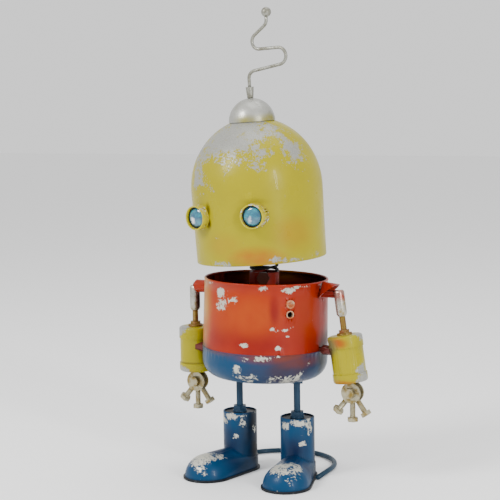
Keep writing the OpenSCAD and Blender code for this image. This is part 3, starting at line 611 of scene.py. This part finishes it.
# fingers are (angle, reach from the hand bolt), and a place is (x, z) in the arm
hand = {"fingers": ((-36, 22.5), (0, 24.9), (40, 22.5)), "from": 9.2, "shank": 2.8, "head": 10.0,
        "headDepth": 4.0, "headBevel": 0.45, "intoHead": 0.5, "pitch": 1.0, "threadDepth": 0.28,
        "left": (0, -97.5), "right": (1.3, -100)}


# hex head with both faces bevelled
def hexHead(across, depth, place):
    deselect()
    corner = across / 2 / math.cos(math.pi / 6)
    bpy.ops.mesh.primitive_cylinder_add(vertices=6, radius=corner * mm, depth=depth * mm,
                                        location=(0, 0, -depth / 2 * mm))
    head = bpy.context.active_object
    bevel = head.modifiers.new("bevel", "BEVEL")
    bevel.width, bevel.segments, bevel.limit_method = hand["headBevel"] * mm, 3, "ANGLE"
    bpy.ops.object.modifier_apply(modifier="bevel")
    head.matrix_world = place @ rotation(0, 0, 30) @ head.matrix_world
    return head


def fingerBolts(side, name, node):
    x, z = hand["left"] if side > 0 else hand["right"]
    parts = []
    for angle, reach in hand["fingers"]:
        # the left hand hangs plumb on its leaning arm
        upright = rotation(0, robot["armLean"] if side > 0 else 0, 0)
        place = armPlace(side) @ shift(x, 0, z) @ upright @ rotation(0, angle + 180, 0) @ shift(0, 0, reach)
        place = place @ Matrix.Scale(-1, 4, (0, 0, 1)) @ Matrix.Scale(-1, 4, (0, 1, 0))
        parts.append(hexHead(hand["head"], hand["headDepth"], place))
        shank = threadProfile(hand["shank"], -hand["intoHead"], reach - hand["from"], hand["pitch"],
                              hand["threadDepth"])
        parts.append(spunRod(shank, place))
    piece = joined(parts, name)
    smooth(piece, 30)
    finished(piece, node, "hand_zinc")
    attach(piece, "trunk")


def plainRod(name, node, place, radius, low, high, pitch, depth, slotName):
    piece = joined([spunRod(threadProfile(radius, low, high, pitch, depth), place)], name)
    smooth(piece, 30)
    finished(piece, node, slotName)
    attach(piece, "trunk")


armRod = {"radius": 3.1, "pitch": 1.0, "depth": 0.18, "aboveHand": 3.6, "sleeve": 25.5, "inSleeve": 14,
          "sleeveTop": {"left": 4, "right": 0.2}}
legRod = {"radius": 3.5, "pitch": 1.25, "depth": 0.12, "foot": 50, "top": 112.8}

print("bolts and rods")
for side, word in ((1, "left"), (-1, "right")):
    fingerBolts(side, "fingerBolts" + word.capitalize(), "finger_bolts_" + word)
    foot = hand[word][1] + armRod["aboveHand"]
    top = armRod["sleeveTop"][word] - armRod["sleeve"] + armRod["inSleeve"]
    plainRod("forearmRod" + word.capitalize(), "forearm_rod_" + word, armPlace(side), armRod["radius"],
             foot, top, armRod["pitch"], armRod["depth"], "rod_rust")
    plainRod("legRod" + word.capitalize(), "leg_rod_" + word, legPlace(side), legRod["radius"],
             legRod["foot"], legRod["top"], legRod["pitch"], legRod["depth"], "leg_blue")


# a tube of a given radius along points, made a mesh; radii swell it at each point
def tubeAlong(name, points, radius, resolution, radii=None, closed=False):
    deselect()
    curve = bpy.data.curves.new(name, "CURVE")
    curve.dimensions, curve.bevel_depth, curve.bevel_resolution = "3D", radius * mm, resolution
    curve.use_fill_caps = not closed
    line = curve.splines.new("POLY")
    line.points.add(len(points) - 1)
    line.use_cyclic_u = closed
    for i, point in enumerate(points):
        line.points[i].co = (*point, 1)
        line.points[i].radius = radii[i] if radii else 1
    piece = bpy.data.objects.new(name, curve)
    bpy.context.collection.objects.link(piece)
    choose(piece)
    bpy.ops.object.convert(target="MESH")
    piece = bpy.context.active_object
    piece.name = piece.data.name = name
    smooth(piece, 60)
    return piece


spring = {"radius": 13.6, "wire": 1.4, "turns": 5.25, "endTurns": 0.75, "endPitch": 3.1,
          "foot": (-1.83, -0.51, 208.11), "top": (-4.67, -2.67, 242.1), "perTurn": 28, "roundness": 4}


def tangent(degrees):
    return math.tan(math.radians(degrees))


# the wire's middle after some turns from the foot, its ends closed up and its tilt eased from trunk to head
def springPoint(turn):
    turns, ends, pitch = spring["turns"], spring["endTurns"], spring["endPitch"]
    length = spring["top"][2] - spring["foot"][2]
    openPitch = (length - 2 * ends * pitch) / (turns - 2 * ends)
    if turn < ends:
        rise = turn * pitch
    elif turn < turns - ends:
        rise = ends * pitch + (turn - ends) * openPitch
    else:
        rise = length - (turns - turn) * pitch
    t = turn / turns
    t = t * t * (3 - 2 * t)
    a = 2 * math.pi * turn
    x, y = spring["radius"] * math.cos(a), spring["radius"] * math.sin(a)
    tilt = (t * (x * tangent(robot["headLean"]) + y * tangent(robot["headNod"]))
            - (1 - t) * (x * tangent(robot["trunkLean"]) + y * tangent(robot["trunkBack"])))
    foot, top = spring["foot"], spring["top"]
    across, back = foot[0] + t * (top[0] - foot[0]) + x, foot[1] + t * (top[1] - foot[1]) + y
    return base @ Vector((across * mm, back * mm, (foot[2] + rise + tilt) * mm))


def springHalf(name, fromTurn, toTurn):
    count = round((toTurn - fromTurn) * spring["perTurn"])
    points = [springPoint(fromTurn + (toTurn - fromTurn) * i / count) for i in range(count + 1)]
    piece = tubeAlong(name, points, spring["wire"], spring["roundness"])
    finished(piece, "neck_spring", "spring_black")
    return piece


print("spring")
middle = spring["turns"] / 2
lower, upper = springHalf("springLower", 0, middle), springHalf("springUpper", middle, spring["turns"])
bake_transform(lower)
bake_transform(upper)


weld = {"bead": 0.75, "lump": 0.22, "lumpStep": 1.9, "swell": 0.12, "swellStep": 0.7, "steps": 96,
        "roundness": 3}
headWall = {"foot": 65, "flare": 0.9, "height": 71.3}


# a lumpy closed bead along points
def weldBead(name, points, body, slotName):
    radii = [1 + weld["lump"] * math.sin(i * weld["lumpStep"])
             + weld["swell"] * math.sin(i * weld["swellStep"] + 1) for i in range(len(points))]
    piece = tubeAlong(name, points, weld["bead"], weld["roundness"], radii, closed=True)
    finished(piece, None, slotName)
    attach(piece, body)


# where the tube meets the round wall of the head
def eyeWeld(side, name):
    place = (shift(side * eye["fromMiddle"], -eye["weldFront"], eye["height"])
             @ rotation(90, 0, side * eye["splay"]))
    axis = (place.to_3x3() @ Vector((0, 0, 1))).normalized()
    points = []
    for i in range(weld["steps"]):
        a = 2 * math.pi * i / weld["steps"]
        start = place @ (Vector((math.cos(a), math.sin(a), 0)) * eye["tubeRadius"] * mm)
        wall = (headWall["foot"] + headWall["flare"] * (start.z / mm) / headWall["height"]) * mm
        # the point goes back along the tube until it is on the wall
        b = start.x * axis.x + start.y * axis.y
        c = start.x ** 2 + start.y ** 2 - wall ** 2
        flat = axis.x ** 2 + axis.y ** 2
        along = (-b + math.sqrt(max(b * b - flat * c, 0))) / flat
        points.append(headPlace @ (start + axis * along))
    weldBead(name, points, "head", "eye_tube_paint")


print("welds")
eyeWeld(1, "eyeWeldLeft")
eyeWeld(-1, "eyeWeldRight")


def plainMaterial(name, colour, roughness):
    material = bpy.data.materials.new(name)
    material.use_nodes = True
    shader = material.node_tree.nodes["Principled BSDF"]
    shader.inputs["Base Color"].default_value = (*colour, 1)
    shader.inputs["Roughness"].default_value = roughness
    return material


def areaLight(name, place, target, size, power):
    light = bpy.data.lights.new(name, "AREA")
    light.shape, light.size, light.size_y, light.energy = "RECTANGLE", size[0], size[1], power
    lamp = bpy.data.objects.new(name, light)
    bpy.context.collection.objects.link(lamp)
    lamp.location = place
    lamp.rotation_euler = (Vector(target) - Vector(place)).to_track_quat("-Z", "Y").to_euler()


# a light is its name, place, target, size and power
studio = {
    "floorSize": 14, "floorDrop": 0.0004, "floorColour": (0.93, 0.93, 0.93), "worldStrength": 1.1,
    "lights": (("keyLight", (-0.75, -1.3, 1.35), (0, 0, 0.28), (0.6, 0.6), 30),
               ("sideLight", (1.5, -0.75, 0.75), (0, 0, 0.25), (0.16, 0.9), 20),
               ("topLight", (0.1, 0.2, 1.8), (0, 0, 0.2), (1.2, 1.2), 12)),
}


def buildStage():
    deselect()
    bpy.ops.mesh.primitive_plane_add(size=studio["floorSize"], location=(0, 0, -studio["floorDrop"]))
    floor = bpy.context.active_object
    floor.name = "floor"
    floor.data.materials.append(plainMaterial("paleFloor", studio["floorColour"], 0.6))
    world = bpy.data.worlds.new("studio")
    bpy.context.scene.world = world
    world.use_nodes = True
    world.node_tree.nodes["Background"].inputs["Color"].default_value = (1, 1, 1, 1)
    world.node_tree.nodes["Background"].inputs["Strength"].default_value = studio["worldStrength"]
    for light in studio["lights"]:
        areaLight(*light)


view = {"distance": 1.430, "azimuth": 29.6, "yaw": 0.64, "pitch": 6.1, "roll": 0.95, "height": 0.381,
        "lens": 102.96, "sensor": 36, "clipStart": 0.05}


def buildCamera():
    a, y = math.radians(view["azimuth"]), math.radians(view["azimuth"] + view["yaw"])
    p, r = math.radians(view["pitch"]), math.radians(view["roll"])
    right = Vector((math.cos(y), math.sin(y), 0))
    forward = Vector((-math.sin(y) * math.cos(p), math.cos(y) * math.cos(p), -math.sin(p)))
    up = right.cross(forward)
    across = right * math.cos(r) - up * math.sin(r)
    over = right * math.sin(r) + up * math.cos(r)
    place = base @ Vector((view["distance"] * math.sin(a), -view["distance"] * math.cos(a), view["height"]))
    data = bpy.data.cameras.new("camera")
    data.lens, data.sensor_width, data.clip_start = view["lens"], view["sensor"], view["clipStart"]
    camera = bpy.data.objects.new("camera", data)
    bpy.context.collection.objects.link(camera)
    turn = Matrix((across, over, -forward)).transposed().to_4x4()
    camera.matrix_world = Matrix.Translation(place) @ turn
    bpy.context.scene.camera = camera


print("stage")
buildStage()
buildCamera()
